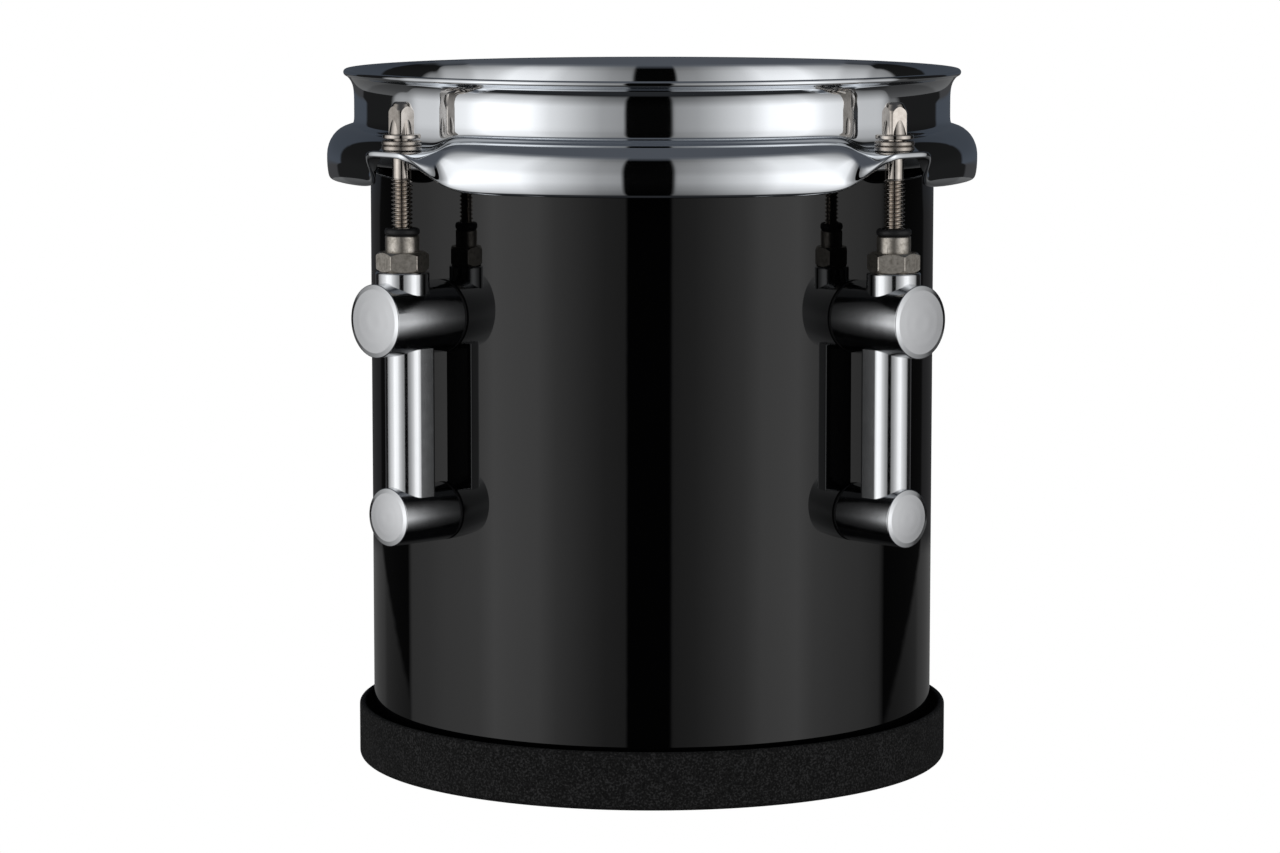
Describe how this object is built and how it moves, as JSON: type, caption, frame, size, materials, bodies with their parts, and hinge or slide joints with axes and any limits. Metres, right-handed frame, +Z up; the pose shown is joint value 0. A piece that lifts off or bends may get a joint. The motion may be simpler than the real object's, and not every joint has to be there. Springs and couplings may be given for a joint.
{
  "type": "small drum",
  "caption": "Small single-headed drum, gloss black shell with a chrome triple-flanged hoop, two-post lugs and square-headed rods, standing on a soft base ring.",
  "frame": {"origin": "centre of the base ring's underside, on the surface that the drum stands on", "axes": "+Z up along the shell's axis; the four rods and lugs stand at 45, 135, 225 and 315 degrees from +X about +Z"},
  "size_m": [0.1758, 0.1758, 0.1878],
  "materials": {
    "shell_lacquer": "high-gloss black lacquer over wood plies",
    "film": "smooth satin black polyester film",
    "flesh_hoop_metal": "plain satin aluminium",
    "hoop_chrome": "mirror-polished chrome plate on pressed steel",
    "foam": "matte black foam rubber with a fine open grain and a smoother rounded rim",
    "rod_steel": "bright nickel-plated steel with a slightly warm tone",
    "washer_steel": "bright nickel-plated steel with a slightly warm tone",
    "nut_steel": "satin, faintly mottled warm grey nickel",
    "seal_rubber": "semi-matte black rubber",
    "lug_chrome": "chrome-plated casting, mirror-bright barrel and satin post ends",
    "screw_steel": "zinc-plated steel"
  },
  "bodies": {
    "drum_body": {"shell": "shell_lacquer", "base_ring": "foam", "lug_1": "lug_chrome", "lug_2": "lug_chrome", "lug_3": "lug_chrome", "lug_4": "lug_chrome", "receiver_nut_1": "nut_steel", "receiver_nut_2": "nut_steel", "receiver_nut_3": "nut_steel", "receiver_nut_4": "nut_steel", "o_ring_1": "seal_rubber", "o_ring_2": "seal_rubber", "o_ring_3": "seal_rubber", "o_ring_4": "seal_rubber", "upper_gasket_1": "seal_rubber", "upper_gasket_2": "seal_rubber", "upper_gasket_3": "seal_rubber", "upper_gasket_4": "seal_rubber", "lower_gasket_1": "seal_rubber", "lower_gasket_2": "seal_rubber", "lower_gasket_3": "seal_rubber", "lower_gasket_4": "seal_rubber", "upper_lug_screw_1": "screw_steel", "upper_lug_screw_2": "screw_steel", "upper_lug_screw_3": "screw_steel", "upper_lug_screw_4": "screw_steel", "lower_lug_screw_1": "screw_steel", "lower_lug_screw_2": "screw_steel", "lower_lug_screw_3": "screw_steel", "lower_lug_screw_4": "screw_steel", "upper_screw_washer_1": "screw_steel", "upper_screw_washer_2": "screw_steel", "upper_screw_washer_3": "screw_steel", "upper_screw_washer_4": "screw_steel", "lower_screw_washer_1": "screw_steel", "lower_screw_washer_2": "screw_steel", "lower_screw_washer_3": "screw_steel", "lower_screw_washer_4": "screw_steel"},
    "tension_hoop": {"counter_hoop": "hoop_chrome", "drum_head": "film", "flesh_hoop": "flesh_hoop_metal", "upper_washer_1": "washer_steel", "upper_washer_2": "washer_steel", "upper_washer_3": "washer_steel", "upper_washer_4": "washer_steel", "lower_washer_1": "washer_steel", "lower_washer_2": "washer_steel", "lower_washer_3": "washer_steel", "lower_washer_4": "washer_steel"},
    "rod_1": {"tension_rod_1": "rod_steel"},
    "rod_2": {"tension_rod_2": "rod_steel"},
    "rod_3": {"tension_rod_3": "rod_steel"},
    "rod_4": {"tension_rod_4": "rod_steel"}
  },
  "joints": [
    {"name": "hoop_lift", "type": "slide", "parent": "drum_body", "child": "tension_hoop", "axis": [0, 0, 1], "range_m": [0, 0.0254]},
    {"name": "rod_turn_1", "type": "hinge", "parent": "tension_hoop", "child": "rod_1", "pos_m": [0.06321, 0.06321, 0.1727], "axis": [0, 0, 1], "range_deg": [0, 8645]},
    {"name": "rod_turn_2", "type": "hinge", "parent": "tension_hoop", "child": "rod_2", "pos_m": [-0.06321, 0.06321, 0.1727], "axis": [0, 0, 1], "range_deg": [0, 8645]},
    {"name": "rod_turn_3", "type": "hinge", "parent": "tension_hoop", "child": "rod_3", "pos_m": [-0.06321, -0.06321, 0.1727], "axis": [0, 0, 1], "range_deg": [0, 8645]},
    {"name": "rod_turn_4", "type": "hinge", "parent": "tension_hoop", "child": "rod_4", "pos_m": [0.06321, -0.06321, 0.1727], "axis": [0, 0, 1], "range_deg": [0, 8645]}
  ],
  "couplings": [
    {"joint": "rod_turn_1", "follows": "hoop_lift", "rad_per_m": 5936.9},
    {"joint": "rod_turn_2", "follows": "hoop_lift", "rad_per_m": 5936.9},
    {"joint": "rod_turn_3", "follows": "hoop_lift", "rad_per_m": 5936.9},
    {"joint": "rod_turn_4", "follows": "hoop_lift", "rad_per_m": 5936.9}
  ]
}
